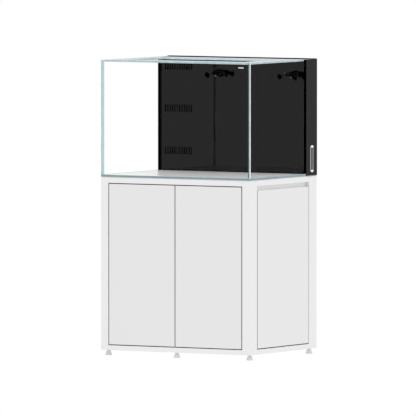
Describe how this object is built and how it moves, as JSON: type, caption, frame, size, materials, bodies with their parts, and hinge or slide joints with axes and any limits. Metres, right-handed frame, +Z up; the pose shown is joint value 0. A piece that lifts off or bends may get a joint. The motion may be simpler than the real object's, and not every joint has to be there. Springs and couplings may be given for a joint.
{
  "type": "aquarium on stand",
  "caption": "All-in-one glass aquarium with black rear filter chamber, slotted overflow wall and return nozzles, on a white framed cabinet stand with flush doors and levelling feet.",
  "frame": {"origin": "on the floor under the middle of the stand", "axes": "+X to the right, -Y to the front, +Z up"},
  "size_m": [0.9052, 0.7, 1.5508],
  "materials": {
    "white_powder_coat": "satin powder coat",
    "white_board": "white laminated panel, satin",
    "door_lacquer": "white lacquered panel, satin gloss",
    "steel": "turned steel",
    "grey_plastic": "moulded grey plastic",
    "foot_plastic": "light grey moulded plastic",
    "foam_mat": "dark closed-cell foam",
    "clear_glass": "clear float glass with pale teal edges",
    "black_glass": "black-backed glass",
    "black_acrylic": "polished black acrylic",
    "smoked_lens": "smoked clear acrylic",
    "satin_metal": "satin anodised",
    "black_plastic": "moulded black plastic, satin",
    "impeller_plastic": "light grey moulded plastic"
  },
  "bodies": {
    "stand_and_tank": {"post_front_left": "white_powder_coat", "post_front_right": "white_powder_coat", "post_rear_left": "white_powder_coat", "post_rear_right": "white_powder_coat", "rail_front_bottom": "white_powder_coat", "rail_front_top": "white_powder_coat", "rail_rear_bottom": "white_powder_coat", "rail_rear_top": "white_powder_coat", "rail_left_bottom": "white_powder_coat", "rail_left_top": "white_powder_coat", "rail_right_bottom": "white_powder_coat", "rail_right_top": "white_powder_coat", "base_shelf": "white_board", "deck_panel": "white_board", "rear_panel": "white_board", "door_pin_left_bottom": "steel", "door_pin_left_top": "steel", "door_pin_right_bottom": "steel", "door_pin_right_top": "steel", "latch_housing": "grey_plastic", "levelling_mat": "foam_mat", "tank_floor_pane": "clear_glass", "tank_front_pane": "clear_glass", "tank_left_pane": "clear_glass", "tank_right_pane": "clear_glass", "brace_front": "clear_glass", "brace_rear": "clear_glass", "brace_left": "clear_glass", "brace_right": "clear_glass", "tank_rear_pane": "black_glass", "partition_wall": "black_acrylic", "overflow_baffle": "black_acrylic", "pump_divider": "black_acrylic", "chamber_cladding": "black_acrylic", "level_window_lens": "smoked_lens", "level_window_bezel": "satin_metal", "return_pump": "black_plastic", "return_manifold": "black_plastic"},
    "left_door": {"door_left": "door_lacquer"},
    "right_door": {"door_right": "door_lacquer"},
    "left_latch_plunger": {"latch_plunger_left": "grey_plastic"},
    "right_latch_plunger": {"latch_plunger_right": "grey_plastic"},
    "left_side_panel": {"side_panel_left": "white_board"},
    "right_side_panel": {"side_panel_right": "white_board"},
    "front_left_foot": {"foot_front_left": "foot_plastic"},
    "front_middle_foot": {"foot_front_middle": "foot_plastic"},
    "front_right_foot": {"foot_front_right": "foot_plastic"},
    "rear_left_foot": {"foot_rear_left": "foot_plastic"},
    "rear_middle_foot": {"foot_rear_middle": "foot_plastic"},
    "rear_right_foot": {"foot_rear_right": "foot_plastic"},
    "left_rear_lid": {"rear_lid_left": "black_acrylic"},
    "right_rear_lid": {"rear_lid_right": "black_acrylic"},
    "filter_cup": {"filter_cup": "black_plastic"},
    "impeller": {"pump_impeller": "impeller_plastic"},
    "left_splitter": {"return_splitter_left": "black_plastic"},
    "right_splitter": {"return_splitter_right": "black_plastic"},
    "left_nozzle_a": {"nozzle_left_a": "black_plastic"},
    "left_nozzle_b": {"nozzle_left_b": "black_plastic"},
    "right_nozzle_a": {"nozzle_right_a": "black_plastic"},
    "right_nozzle_b": {"nozzle_right_b": "black_plastic"}
  },
  "joints": [
    {"name": "left_door_hinge", "type": "hinge", "parent": "stand_and_tank", "child": "left_door", "pos_m": [-0.381, -0.3405, 0.0585], "axis": [0, 0, 1], "range_deg": [-100, 0]},
    {"name": "right_door_hinge", "type": "hinge", "parent": "stand_and_tank", "child": "right_door", "pos_m": [0.381, -0.3405, 0.0585], "axis": [0, 0, 1], "range_deg": [0, 100]},
    {"name": "left_latch_push", "type": "slide", "parent": "stand_and_tank", "child": "left_latch_plunger", "axis": [0, 1, 0], "range_m": [0, 0.004], "stiffness_N_per_m": 150},
    {"name": "right_latch_push", "type": "slide", "parent": "stand_and_tank", "child": "right_latch_plunger", "axis": [0, 1, 0], "range_m": [0, 0.004], "stiffness_N_per_m": 150},
    {"name": "left_side_panel_pull", "type": "slide", "parent": "stand_and_tank", "child": "left_side_panel", "axis": [-1, 0, 0], "range_m": [0, 0.15]},
    {"name": "right_side_panel_pull", "type": "slide", "parent": "stand_and_tank", "child": "right_side_panel", "axis": [1, 0, 0], "range_m": [0, 0.15]},
    {"name": "front_left_foot_screw", "type": "hinge", "parent": "stand_and_tank", "child": "front_left_foot", "pos_m": [-0.4275, -0.31, 0], "axis": [0, 0, 1], "continuous": true},
    {"name": "front_middle_foot_screw", "type": "hinge", "parent": "stand_and_tank", "child": "front_middle_foot", "pos_m": [0, -0.33, 0], "axis": [0, 0, 1], "continuous": true},
    {"name": "front_right_foot_screw", "type": "hinge", "parent": "stand_and_tank", "child": "front_right_foot", "pos_m": [0.4275, -0.31, 0], "axis": [0, 0, 1], "continuous": true},
    {"name": "rear_left_foot_screw", "type": "hinge", "parent": "stand_and_tank", "child": "rear_left_foot", "pos_m": [-0.4275, 0.31, 0], "axis": [0, 0, 1], "continuous": true},
    {"name": "rear_middle_foot_screw", "type": "hinge", "parent": "stand_and_tank", "child": "rear_middle_foot", "pos_m": [0, 0.33, 0], "axis": [0, 0, 1], "continuous": true},
    {"name": "rear_right_foot_screw", "type": "hinge", "parent": "stand_and_tank", "child": "rear_right_foot", "pos_m": [0.4275, 0.31, 0], "axis": [0, 0, 1], "continuous": true},
    {"name": "left_rear_lid_lift", "type": "slide", "parent": "stand_and_tank", "child": "left_rear_lid", "axis": [0, 0, 1], "range_m": [0, 0.15]},
    {"name": "right_rear_lid_lift", "type": "slide", "parent": "stand_and_tank", "child": "right_rear_lid", "axis": [0, 0, 1], "range_m": [0, 0.15]},
    {"name": "filter_cup_lift", "type": "slide", "parent": "stand_and_tank", "child": "filter_cup", "axis": [0, 0, 1], "range_m": [0, 0.08]},
    {"name": "impeller_spin", "type": "hinge", "parent": "stand_and_tank", "child": "impeller", "pos_m": [0.205, 0.28985, 0.9876], "axis": [1, 0, 0], "continuous": true},
    {"name": "left_splitter_turn", "type": "hinge", "parent": "stand_and_tank", "child": "left_splitter", "pos_m": [-0.077, 0.238, 1.4713], "axis": [0, 1, 0], "range_deg": [-25, 25]},
    {"name": "left_nozzle_a_aim", "type": "hinge", "parent": "left_splitter", "child": "left_nozzle_a", "pos_m": [-0.106, 0.196, 1.4633], "axis": [0, 0, 1], "range_deg": [-15, 15]},
    {"name": "left_nozzle_b_aim", "type": "hinge", "parent": "left_splitter", "child": "left_nozzle_b", "pos_m": [-0.047, 0.206, 1.4693], "axis": [0, 0, 1], "range_deg": [-15, 15]},
    {"name": "right_splitter_turn", "type": "hinge", "parent": "stand_and_tank", "child": "right_splitter", "pos_m": [0.386, 0.238, 1.4713], "axis": [0, 1, 0], "range_deg": [-25, 25]},
    {"name": "right_nozzle_a_aim", "type": "hinge", "parent": "right_splitter", "child": "right_nozzle_a", "pos_m": [0.339, 0.2, 1.4653], "axis": [0, 0, 1], "range_deg": [-15, 15]},
    {"name": "right_nozzle_b_aim", "type": "hinge", "parent": "right_splitter", "child": "right_nozzle_b", "pos_m": [0.413, 0.204, 1.4683], "axis": [0, 0, 1], "range_deg": [-15, 15]}
  ]
}
